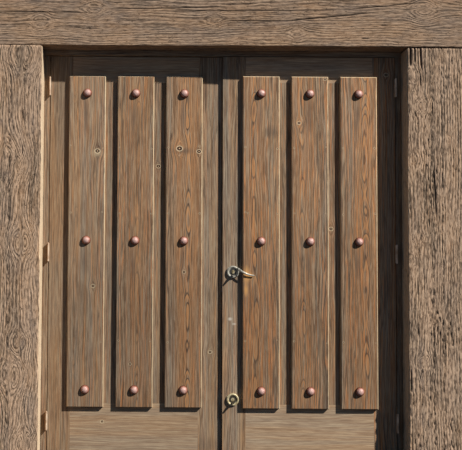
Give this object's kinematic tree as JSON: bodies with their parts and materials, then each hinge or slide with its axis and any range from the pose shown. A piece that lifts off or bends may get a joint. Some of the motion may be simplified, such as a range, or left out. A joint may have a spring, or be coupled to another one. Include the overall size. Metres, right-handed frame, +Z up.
{
  "type": "double barn door with its timber frame",
  "caption": "Pair of framed, boarded and battened barn door leaves hung on projecting hinges in a hewn post and lintel frame, with lever lock and shoot bolts.",
  "frame": {"origin": "on the floor, midway between the posts and midway through the lintel", "axes": "+X to the right seen from the front, -Y out of the front face, +Z up"},
  "size_m": [2.7162, 0.26, 2.603],
  "materials": {
    "hewn_timber": "weathered, axe-hewn, matt",
    "lining_wood": "sawn, matt",
    "peg_wood": "turned, matt",
    "leaf_wood": "planed, weathered, matt",
    "batten_wood": "planed, weathered, matt",
    "nail_iron": "hammered, copper-brown",
    "hinge_steel": "worn bright",
    "lever_steel": "forged and polished",
    "lock_brass": "worn, satin",
    "lock_steel": "satin",
    "bolt_iron": "black, forged"
  },
  "bodies": {
    "frame": {"frame_hinge_screws": "hinge_steel", "frame_pegs": "peg_wood", "head_jamb": "lining_wood", "hinge_pins": "hinge_steel", "left_bottom_frame_flap": "hinge_steel", "left_jamb": "lining_wood", "left_middle_frame_flap": "hinge_steel", "left_post": "hewn_timber", "left_top_frame_flap": "hinge_steel", "lintel_beam": "hewn_timber", "right_bottom_frame_flap": "hinge_steel", "right_jamb": "lining_wood", "right_middle_frame_flap": "hinge_steel", "right_post": "hewn_timber", "right_top_frame_flap": "hinge_steel"},
    "left_leaf": {"bolt_guides": "bolt_iron", "left_batten_1": "batten_wood", "left_batten_2": "batten_wood", "left_batten_3": "batten_wood", "left_boards": "leaf_wood", "left_bottom_leaf_flap": "hinge_steel", "left_bottom_rail": "leaf_wood", "left_hinge_stile": "leaf_wood", "left_leaf_hinge_screws": "hinge_steel", "left_meeting_stile": "leaf_wood", "left_middle_leaf_flap": "hinge_steel", "left_middle_rail": "leaf_wood", "left_nails": "nail_iron", "left_top_leaf_flap": "hinge_steel", "left_top_rail": "leaf_wood", "strike_plates": "lock_steel"},
    "right_leaf": {"inside_roses": "lock_brass", "lower_lock_case": "lock_steel", "lower_rose": "lock_brass", "right_batten_1": "batten_wood", "right_batten_2": "batten_wood", "right_batten_3": "batten_wood", "right_boards": "leaf_wood", "right_bottom_leaf_flap": "hinge_steel", "right_bottom_rail": "leaf_wood", "right_hinge_stile": "leaf_wood", "right_leaf_hinge_screws": "hinge_steel", "right_meeting_stile": "leaf_wood", "right_middle_leaf_flap": "hinge_steel", "right_middle_rail": "leaf_wood", "right_nails": "nail_iron", "right_top_leaf_flap": "hinge_steel", "right_top_rail": "leaf_wood", "upper_lock_case": "lock_steel", "upper_rose": "lever_steel"},
    "lever": {"inside_lever": "lever_steel", "outer_lever": "lever_steel"},
    "upper_plug": {"upper_plug": "lock_brass"},
    "lower_turn": {"lower_plug": "lock_brass", "thumb_turn": "lock_brass"},
    "upper_bolt": {"upper_bolt": "lock_steel"},
    "lower_bolt": {"lower_bolt": "lock_steel"},
    "top_bolt": {"top_shoot_bolt": "bolt_iron"},
    "bottom_bolt": {"bottom_shoot_bolt": "bolt_iron"}
  },
  "joints": [
    {"name": "left_leaf_swing", "type": "hinge", "parent": "frame", "child": "left_leaf", "pos_m": [-0.9946, 0, 1.137], "axis": [0, 0, -1], "range_deg": [0, 100]},
    {"name": "right_leaf_swing", "type": "hinge", "parent": "frame", "child": "right_leaf", "pos_m": [0.9946, -0.02, 1.137], "axis": [0, 0, 1], "range_deg": [0, 100]},
    {"name": "lever_turn", "type": "hinge", "parent": "right_leaf", "child": "lever", "pos_m": [0.0611, 0, 1.03], "axis": [0, 1, 0], "range_deg": [0, 45]},
    {"name": "upper_bolt_slide", "type": "slide", "parent": "right_leaf", "child": "upper_bolt", "axis": [-1, 0, 0], "range_m": [0, 0.02]},
    {"name": "upper_plug_turn", "type": "hinge", "parent": "lever", "child": "upper_plug", "pos_m": [0.0611, 0, 1.03], "axis": [0, 1, 0], "range_deg": [0, 90]},
    {"name": "lower_lock_turn", "type": "hinge", "parent": "right_leaf", "child": "lower_turn", "pos_m": [0.0611, 0, 0.307], "axis": [0, 1, 0], "range_deg": [0, 90]},
    {"name": "lower_bolt_slide", "type": "slide", "parent": "right_leaf", "child": "lower_bolt", "axis": [-1, 0, 0], "range_m": [0, 0.02]},
    {"name": "top_bolt_slide", "type": "slide", "parent": "left_leaf", "child": "top_bolt", "axis": [0, 0, 1], "range_m": [0, 0.04]},
    {"name": "bottom_bolt_slide", "type": "slide", "parent": "left_leaf", "child": "bottom_bolt", "axis": [0, 0, -1], "range_m": [0, 0.033]}
  ],
  "couplings": [
    {"joint": "upper_bolt_slide", "follows": "lever_turn", "m_per_rad": 0.02546},
    {"joint": "lower_bolt_slide", "follows": "lower_lock_turn", "m_per_rad": 0.01273}
  ]
}
